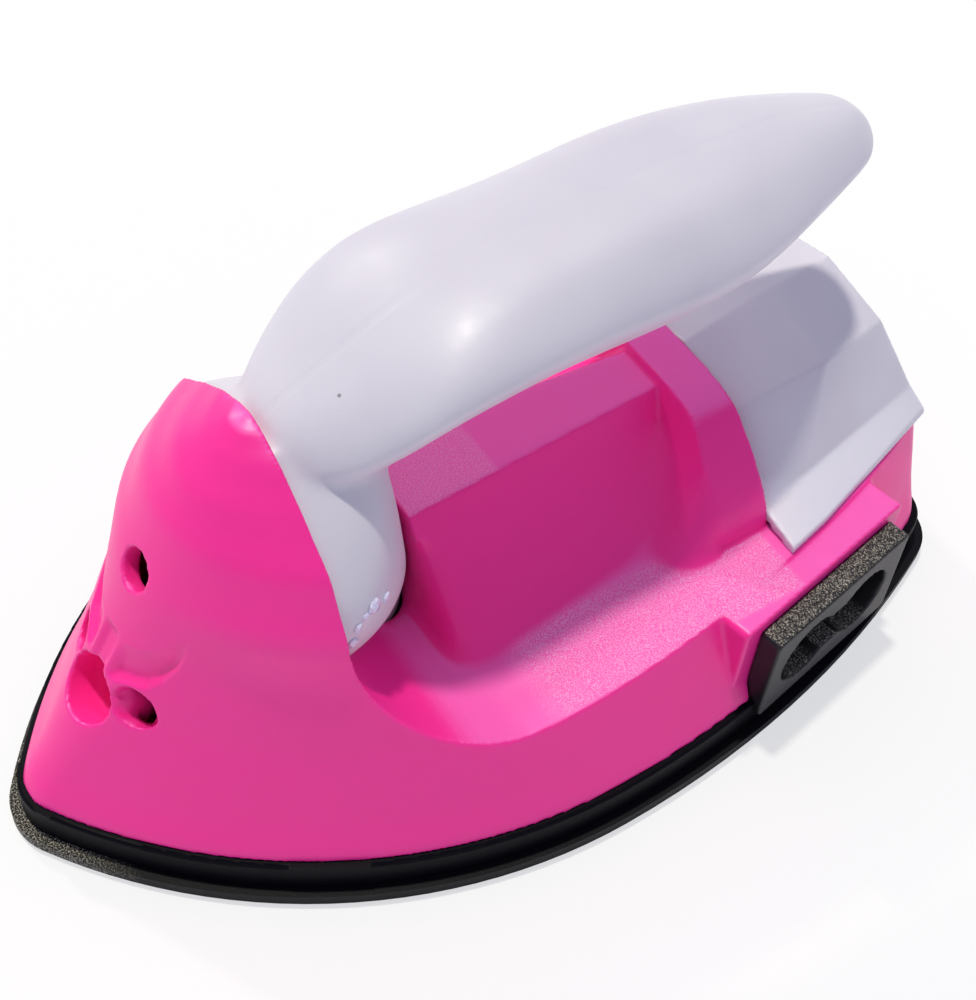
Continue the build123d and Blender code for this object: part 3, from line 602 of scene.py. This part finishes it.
def turned(work, profile, middle, axis, steps=40):
    """Add a closed solid of revolution about an axis through a point; all lengths in millimetres."""
    turn = axis.to_track_quat("Z", "Y").to_matrix().to_4x4()
    turn.translation = middle * MM
    rings = []
    for radius, along in profile:
        ring = []
        for step in range(steps if radius else 1):
            angle = math.tau * step / steps
            spot = Vector((radius * math.cos(angle), radius * math.sin(angle), along)) * MM
            ring.append(work.verts.new(turn @ spot))
        rings.append(ring)
    for first, second in zip(rings, rings[1:]):
        for step in range(steps):
            corners = [first[step % len(first)], first[(step + 1) % len(first)]]
            corners += [second[(step + 1) % len(second)], second[step % len(second)]]
            work.faces.new(list(dict.fromkeys(corners)))


def well_corners(co):
    """The inner corners where the ridge's flanks run out into the shoulder and the prow."""
    x, y, z = np.abs(co[:, 0]), co[:, 1], co[:, 2]
    return between(x, *well_side) * between(z, *well_height) * between(y, *well_length)


def line_openings(work):
    """Add the cup behind the large opening and the webs beside it."""
    turned(work, cup_profile, large_opening, opening_axis)
    for middle in webs:
        turned(work, web_profile, middle, opening_axis, 12)


def distance_to(path, across, height):
    """Distance of points from a line of corners, all in one plane."""
    best = np.full(across.shape, np.inf)
    for (x0, z0), (x1, z1) in zip(path, path[1:]):
        run, lift = x1 - x0, z1 - z0
        share = np.clip(((across - x0) * run + (height - z0) * lift) / (run * run + lift * lift), 0, 1)
        best = np.minimum(best, np.hypot(across - x0 - share * run, height - z0 - share * lift))
    return best


def crescent_share(co):
    """How far a crescent is cut in, from 0 at its upper edge to 1 at the crease above its lower edge."""
    across, height = np.abs(co[:, 0]), co[:, 2]
    top = np.interp(across, *zip(*crescent_top))
    foot = np.interp(across, *zip(*crescent_foot))
    inside = (co[:, 1] < nose_start) & (across < crescent_top[-1][0]) & (height < top) & (height > foot)
    to_top = distance_to(crescent_top, across, height)
    to_foot = distance_to(crescent_foot, across, height)
    width = to_top + to_foot
    slope = to_top / np.maximum(width, 0.01) * np.minimum(width / full_width, 1)
    return inside * slope * rise(to_foot, 0, crease) * rise(across, *crescent_side)


def channel_share(co):
    """How far the channel from between the crescents down to the large opening is cut in."""
    across, height = np.abs(co[:, 0]), co[:, 2]
    return (co[:, 1] < nose_start) * (1 - rise(across, *channel_side)) * between(height, *channel_height)


def cut_nose(co, options):
    """Cut the crescents and the channel; both faces of the wall move, so it keeps its thickness."""
    depth = crescent_share(co) * options.crescent_depth + channel_share(co) * options.channel_depth
    inwards = np.stack([-co[:, 0] / nose_round, np.ones(len(co)), np.full(len(co), -cut_drop)], 1)
    inwards /= np.linalg.norm(inwards, axis=1, keepdims=True)
    return co + inwards * (depth / MM)[:, None]


def nose_cuts(co):
    """The crescents and what is close to them, without the openings' rims."""
    x, y, z = np.abs(co[:, 0]), co[:, 1], co[:, 2]
    near = rise(-y, *cuts_front) * between(z, *cuts_height) * (1 - rise(x, *cuts_side))
    return near * (1 - rise(z - brow_slope * x, *brow_line))


def level_faces(normal):
    """Which faces look straight up."""
    return rise(normal[:, 2], *level_tilt)


def hull_grain(co, normal):
    """Where the housing is spark-eroded: the shoulder's top and the front of the ridge's top."""
    x, y, z = np.abs(co[:, 0]), co[:, 1], co[:, 2]
    shoulder = between(z, *shoulder_height) * between(y, *shoulder_length)
    shoulder *= rise(x, *shoulder_side) * (1 - rise(x - shoulder_lean * z, *shoulder_edge))
    top = rise(z, *ridge_height) * between(y, *ridge_length)
    return level_faces(normal) * np.clip(shoulder + ridge_share * top, 0, 1)


class IRON_OT_hull(bpy.types.Operator):
    """Build the pink housing with its cut crescents, its cup and its grained areas."""

    bl_idname = "iron.hull"
    bl_label = "Pink housing"

    def execute(self, context):
        options = settings(context, "iron_hull")
        piece = softened("housing", ["hull_shell"], options.voxel, options.softening, line_openings)
        ease(piece, well_corners, options.well_softening)
        co, normal = places_and_normals(piece.data)
        mark(piece.data, "grain", hull_grain(co, normal))
        # Painted light: level faces above the skirt are marked to be painted paler, as if the sun lit them
        # more.
        mark(piece.data, "painted_sunlit", level_faces(normal) * rise(co[:, 2], *painted_sunlit_height))
        move_verts(piece.data, cut_nose(co, options))
        ease(piece, nose_cuts, options.cut_softening)
        settle(piece, pink_abs(options), "pink_plastic", "hull_shell")
        return {"FINISHED"}


# Handle and cover

# The top of the grip that is eased, out to the side, upwards and back, and half the breadth of the seam.
crest_side = (3, 7)
crest_height = (45, 49)
crest_end = (33, 39)
seam_side = (0.1, 0.45)

# Beads of adhesive at the foot of the handle's port side: place, way out, width and height, in millimetres.
beads = (
    ((13.5, -19.6, 30.7), (0.91, 0.41, 0.09), 1.5, 0.35),
    ((12.7, -18.0, 30.0), (0.85, 0.53, 0.05), 1.0, 0.3),
    ((13.9, -20.7, 30.5), (0.94, 0.32, 0.09), 0.8, 0.25),
    ((14.2, -21.6, 29.9), (0.97, 0.22, 0.04), 0.9, 0.3),
    ((14.2, -22.1, 28.1), (0.98, 0.16, -0.14), 1.2, 0.35),
)


def handle_crest(co):
    """The top of the grip, along the parting line."""
    x, y, z = np.abs(co[:, 0]), co[:, 1], co[:, 2]
    return (1 - rise(x, *crest_side)) * rise(z, *crest_height) * (1 - rise(y, *crest_end))


def bead_mesh():
    """Flat, uneven beads that sit in the handle's surface."""
    work = bmesh.new()
    for place, way, width, height in beads:
        turn = Vector(way).to_track_quat("Z", "Y").to_matrix().to_4x4()
        turn.translation = Vector(place) * MM
        made = bmesh.ops.create_icosphere(work, subdivisions=4, radius=1.0)["verts"]
        for vert in made:
            lump = 1 + 0.3 * noise.noise(vert.co * 1.7 + Vector(place))
            spot = Vector((vert.co.x * width / 2, vert.co.y * width / 2, vert.co.z * height))
            vert.co = turn @ (spot * lump * MM)
    mesh = bpy.data.meshes.new("glue_beads")
    work.to_mesh(mesh)
    work.free()
    mesh.shade_smooth()
    return mesh


class IRON_OT_handle(bpy.types.Operator):
    """Build the white handle, one skin over both halves with a faint parting line, and its glue beads."""

    bl_idname = "iron.handle"
    bl_label = "White handle"

    def execute(self, context):
        options = settings(context, "iron_handle")
        halves = ("handle_port_half", "handle_starboard_half")
        piece = softened("handle", halves, options.handle_voxel, options.handle_softening)
        ease(piece, handle_crest, options.crest_softening)
        co = places_and_normals(piece.data)[0]
        mark(piece.data, "seam", 1 - rise(np.abs(co[:, 0]), *seam_side))
        settle(piece, white_abs(options), "white_plastic", *halves)
        glue = bpy.data.objects.new("glue_beads", bead_mesh())
        context.scene.collection.objects.link(glue)
        settle(glue, adhesive(), "white_plastic")
        return {"FINISHED"}


# Filling of the rear cover's thin lower edge as (place along, inner and outer distance from the middle),
# and its lower and upper face, in millimetres.
lip_stations = ((24.1, 16.8, 20.2), (29.5, 15.6, 18.8), (47.4, 9.6, 12.6))
lip_heights = (17.25, 18.1)

# The cover's band, painted lighter as if lit more: the upward part of its normal, and the height over which
# it runs out.
band_tilt = (0.5, 0.75)
band_top = (20.4, 21.4)


def fill_lips(work):
    """Make the cover's lower edge solid on both sides, where its wall is thinner than the skin's step."""
    for side in (-1, 1):
        rings = []
        for along, inner, outer in lip_stations:
            low, high = lip_heights
            corners = ((inner, low), (outer, low), (outer, high), (inner, high))
            rings.append([work.verts.new(Vector((side * x, along, z)) * MM) for x, z in corners])
        for first, second in zip(rings, rings[1:]):
            for step in range(4):
                after = (step + 1) % 4
                work.faces.new((first[step], first[after], second[after], second[step]))
        work.faces.new(rings[0])
        work.faces.new(rings[-1])


def cover_band(co, normal):
    """The cover's band above its lower edge, which is painted lighter as if lit more."""
    return rise(normal[:, 2], *band_tilt) * (1 - rise(co[:, 2], *band_top))


class IRON_OT_cover(bpy.types.Operator):
    """Build the white faceted rear cover."""

    bl_idname = "iron.cover"
    bl_label = "Rear cover"

    def execute(self, context):
        options = settings(context, "iron_handle")
        step, times = options.cover_voxel, options.cover_softening
        piece = softened("rear_cover_skin", ["rear_cover"], step, times, fill_lips)
        # Painted light: the band above the lower edge is marked to be painted lighter.
        mark(piece.data, "painted_sunlit", cover_band(*places_and_normals(piece.data)))
        settle(piece, bpy.data.materials["white_moulded_abs"], "white_plastic", "rear_cover")
        return {"FINISHED"}


# Upward part of the normal from which the inlet's top is grained; painted glints show on that grain.
inlet_tilt = (0.8, 0.95)


class IRON_OT_inlet(bpy.types.Operator):
    """Build the black inlet and finish its pins and tags."""

    bl_idname = "iron.inlet"
    bl_label = "Mains inlet"

    def execute(self, context):
        options = settings(context, "iron_base")
        piece = softened("inlet", ["inlet_housing"], options.inlet_voxel, options.inlet_softening)
        normal = places_and_normals(piece.data)[1]
        mark(piece.data, "grain", rise(normal[:, 2], *inlet_tilt))
        settle(piece, black_pbt("black_grained_pbt", options, 0.35), "black_plastic", "inlet_housing")
        plated = metal("nickel_plated_brass", "#D8D0B8", "#B8AE92", 0.25, 0.6 * MM)
        for node in ("inlet_pins", "inlet_terminals"):
            paint(node, plated)
        return {"FINISHED"}


class IRON_OT_base(bpy.types.Operator):
    """Finish the skirt, the sole plate and the screws."""

    bl_idname = "iron.base"
    bl_label = "Skirt and sole"

    def execute(self, context):
        options = settings(context, "iron_base")
        paint("base_skirt", black_pbt("black_moulded_pbt", options, 0.05))
        paint("sole_plate", coated_alloy(options))
        zinc = metal("zinc_plated_steel", "#B9BCC2", "#96999F", 0.32, 0.5 * MM)
        fixings = ("base_screws", "handle_plate", "handle_screws", "clamp_screws", "clip_screws")
        for node in (*fixings, "heater_clamp", "fuse_clip"):
            paint(node, zinc)
        return {"FINISHED"}


class IRON_OT_heater(bpy.types.Operator):
    """Finish the heater stack, the fuse and the wires inside."""

    bl_idname = "iron.heater"
    bl_label = "Heater and wiring"

    def execute(self, context):
        tinned = metal("tinned_copper", "#C9C4BC", "#A39E96", 0.3, 0.5 * MM)
        for node in ("heater_electrodes", "thermal_fuse", "wire_crimps"):
            paint(node, tinned)
        paint("heater_element", mineral("fired_ceramic", "#DCD6CB", "#C8C0B2", 0.7, 0.8 * MM))
        fibre = mineral("pressed_mica_fibre", "#B99B6B", "#8F7448", 0.75, 1.5 * MM)
        for node in ("insulation_sheets", "heat_shield"):
            paint(node, fibre)
        paint("fuse_sleeve", mineral("glass_fibre_sleeving", "#E4DFD2", "#C9C2B0", 0.8, 0.3 * MM))
        paint("wire_neutral", mineral("blue_silicone_insulation", "#2A4FB0", "#23449B", 0.5, 2 * MM))
        red = mineral("red_silicone_insulation", "#B5402C", "#9C3424", 0.5, 2 * MM)
        for node in ("wire_live", "wire_link"):
            paint(node, red)
        return {"FINISHED"}


# Stage


# Share of plain white that the camera sees in the floor; the rest keeps the shadow.
floor_white = 0.62


def floor_piece(options):
    """Pale floor that keeps the shadow and reads as white around it."""
    work = bmesh.new()
    bmesh.ops.create_grid(work, x_segments=8, y_segments=8, size=4.0)
    mesh = bpy.data.meshes.new("floor")
    work.to_mesh(mesh)
    work.free()
    floor = bpy.data.objects.new("floor", mesh)
    floor.location.z = -0.02 * MM
    bpy.context.scene.collection.objects.link(floor)
    material = bpy.data.materials.new("pale_floor")
    material.use_nodes = True
    tree = material.node_tree
    tree.nodes.clear()
    matt = add(tree, "ShaderNodeBsdfDiffuse", {"Color": rgba(options.floor)}).outputs[0]
    white = add(tree, "ShaderNodeEmission", {"Color": rgba("#FFFFFF"), "Strength": 1.0}).outputs[0]
    seen = add(tree, "ShaderNodeLightPath").outputs["Is Camera Ray"]
    share = add(tree, "ShaderNodeMath", {"operation": "MULTIPLY", 0: seen, 1: floor_white}).outputs[0]
    mixed = add(tree, "ShaderNodeMixShader", {0: share, 1: matt, 2: white}).outputs[0]
    add(tree, "ShaderNodeOutputMaterial", {"Surface": mixed})
    mesh.materials.append(material)


def sky(options):
    """Soft light from all round, seen as plain white."""
    world = bpy.data.worlds.new("soft_sky")
    world.use_nodes = True
    tree = world.node_tree
    tree.nodes.clear()
    light = {"Color": rgba(options.sky), "Strength": options.sky_strength}
    glow = add(tree, "ShaderNodeBackground", light).outputs[0]
    white = add(tree, "ShaderNodeBackground", {"Color": rgba("#FFFFFF"), "Strength": 1.0}).outputs[0]
    path = add(tree, "ShaderNodeLightPath").outputs
    rays = {"operation": "MAXIMUM", 0: path["Is Camera Ray"], 1: path["Is Transmission Ray"]}
    seen = add(tree, "ShaderNodeMath", rays).outputs[0]
    mixed = add(tree, "ShaderNodeMixShader", {0: seen, 1: glow, 2: white}).outputs[0]
    add(tree, "ShaderNodeOutputWorld", {"Surface": mixed})
    bpy.context.scene.world = world


def lamp(name, options, strength, towards):
    """A broad distant lamp that stands in the given direction."""
    light = bpy.data.lights.new(name, "SUN")
    light.energy = strength
    light.angle = options.spread
    light.color = options.key
    piece = bpy.data.objects.new(name, light)
    piece.rotation_euler = Vector(towards).to_track_quat("Z", "Y").to_euler()
    bpy.context.scene.collection.objects.link(piece)


def camera_place():
    """The camera's axes and place: right, up, back and where it stands, in metres."""
    right = Vector((0.54668, 0.83458, 0.06801))
    up = Vector((-0.67001, 0.38727, 0.63333))
    back = Vector((0.50223, -0.3918, 0.77088))
    stand = Vector((88.91, -67.555, 153.973)) * MM
    place = Matrix((right, up, back)).transposed().to_4x4()
    place.translation = stand
    return place


def camera(options):
    """Camera at the photograph's place, from above on the port bow."""
    data = bpy.data.cameras.new("camera")
    data.lens = options.lens
    data.sensor_width = 36.0
    data.sensor_fit = "HORIZONTAL"
    data.clip_start = 0.005
    view = bpy.data.objects.new("camera", data)
    view.matrix_world = camera_place()
    bpy.context.scene.collection.objects.link(view)
    bpy.context.scene.camera = view


class IRON_OT_stage(bpy.types.Operator):
    """Set out the floor, the light and the camera."""

    bl_idname = "iron.stage"
    bl_label = "Floor, light and camera"

    def execute(self, context):
        options = settings(context, "iron_stage")
        floor_piece(options)
        sky(options)
        # One lamp is almost overhead; the other, low on the starboard side, reaches under the handle.
        lamp("overhead_lamp", options, options.key_strength, (-0.2, -0.02, 0.98))
        lamp("side_lamp", options, options.side_strength, (-0.82, -0.1, 0.56))
        camera(options)
        context.scene.view_settings.view_transform = "Standard"
        return {"FINISHED"}


OPERATORS = (
    IRON_OT_hull,
    IRON_OT_handle,
    IRON_OT_cover,
    IRON_OT_inlet,
    IRON_OT_base,
    IRON_OT_heater,
    IRON_OT_stage,
)
GROUPS = {
    "iron_hull": IronHullSettings,
    "iron_handle": IronHandleSettings,
    "iron_base": IronBaseSettings,
    "iron_stage": IronStageSettings,
}


class IRON_PT_panel(bpy.types.Panel):
    """Sidebar panel that lists the pieces and the stage."""

    bl_idname = "IRON_PT_panel"
    bl_label = "Mini craft iron"
    bl_space_type = "VIEW_3D"
    bl_region_type = "UI"
    bl_category = "Craft Iron"

    def draw(self, context):
        for operator in OPERATORS:
            self.layout.operator(operator.bl_idname)
        for name, group in GROUPS.items():
            box = self.layout.box()
            box.label(text=group.__doc__)
            for key in group.__annotations__:
                box.prop(getattr(context.scene, name), key)


def register():
    for group in GROUPS.values():
        bpy.utils.register_class(group)
    for name, group in GROUPS.items():
        setattr(bpy.types.Scene, name, PointerProperty(type=group))
    for kind in (*OPERATORS, IRON_PT_panel):
        bpy.utils.register_class(kind)


def unregister():
    for kind in reversed((*OPERATORS, IRON_PT_panel)):
        bpy.utils.unregister_class(kind)
    for name, group in GROUPS.items():
        delattr(bpy.types.Scene, name)
        bpy.utils.unregister_class(group)


def main():
    """Build everything in order."""
    register()
    bpy.ops.iron.hull()
    bpy.ops.iron.handle()
    bpy.ops.iron.cover()
    bpy.ops.iron.inlet()
    bpy.ops.iron.base()
    bpy.ops.iron.heater()
    bpy.ops.iron.stage()


if __name__ == "__main__":
    main()
